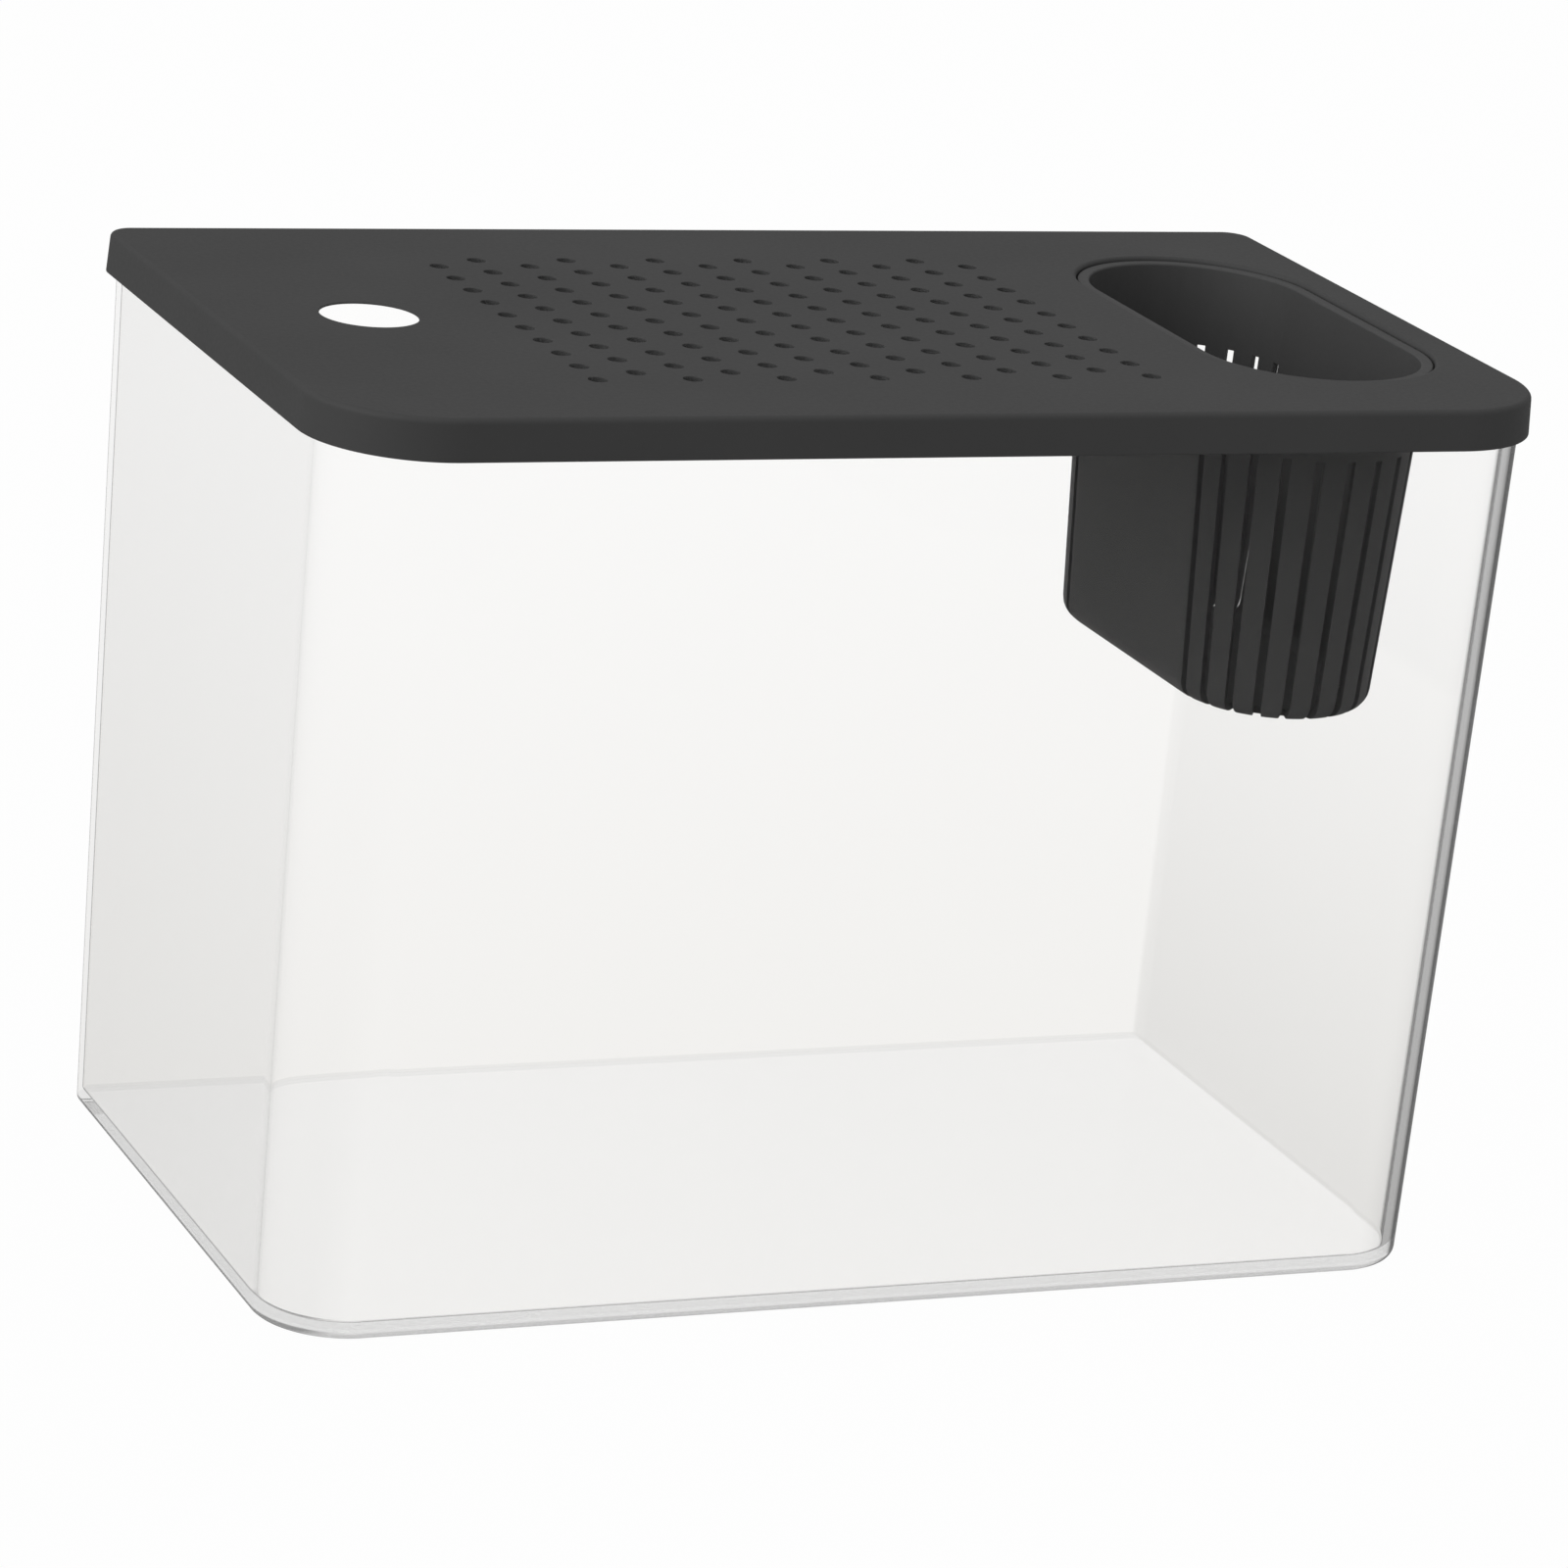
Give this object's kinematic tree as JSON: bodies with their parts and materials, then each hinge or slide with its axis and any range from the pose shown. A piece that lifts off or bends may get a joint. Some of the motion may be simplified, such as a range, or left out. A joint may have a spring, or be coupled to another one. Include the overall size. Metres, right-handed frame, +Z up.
{
  "type": "reptile feeding box",
  "caption": "Clear open-top tank with a vented drop-on lid, a round feed hole and a slotted, round-ended feeding cup that lifts out of the lid.",
  "frame": {"origin": "middle of the tank's flat underside", "axes": "+X along the long side towards the feeding cup, +Y to the back, +Z up out of the tank"},
  "size_m": [0.265, 0.152, 0.19],
  "materials": {
    "clear_plastic": "clear, polished",
    "lid_plastic": "fine satin moulded",
    "cup_plastic": "fine satin moulded"
  },
  "bodies": {
    "tank_body": {"tank": "clear_plastic"},
    "lid_body": {"lid": "lid_plastic"},
    "cup_body": {"cup": "cup_plastic"}
  },
  "joints": [
    {"name": "lid_lift", "type": "slide", "parent": "tank_body", "child": "lid_body", "axis": [0, 0, 1], "range_m": [0, 0.085]},
    {"name": "cup_lift", "type": "slide", "parent": "lid_body", "child": "cup_body", "axis": [0, 0, 1], "range_m": [0, 0.085]}
  ]
}
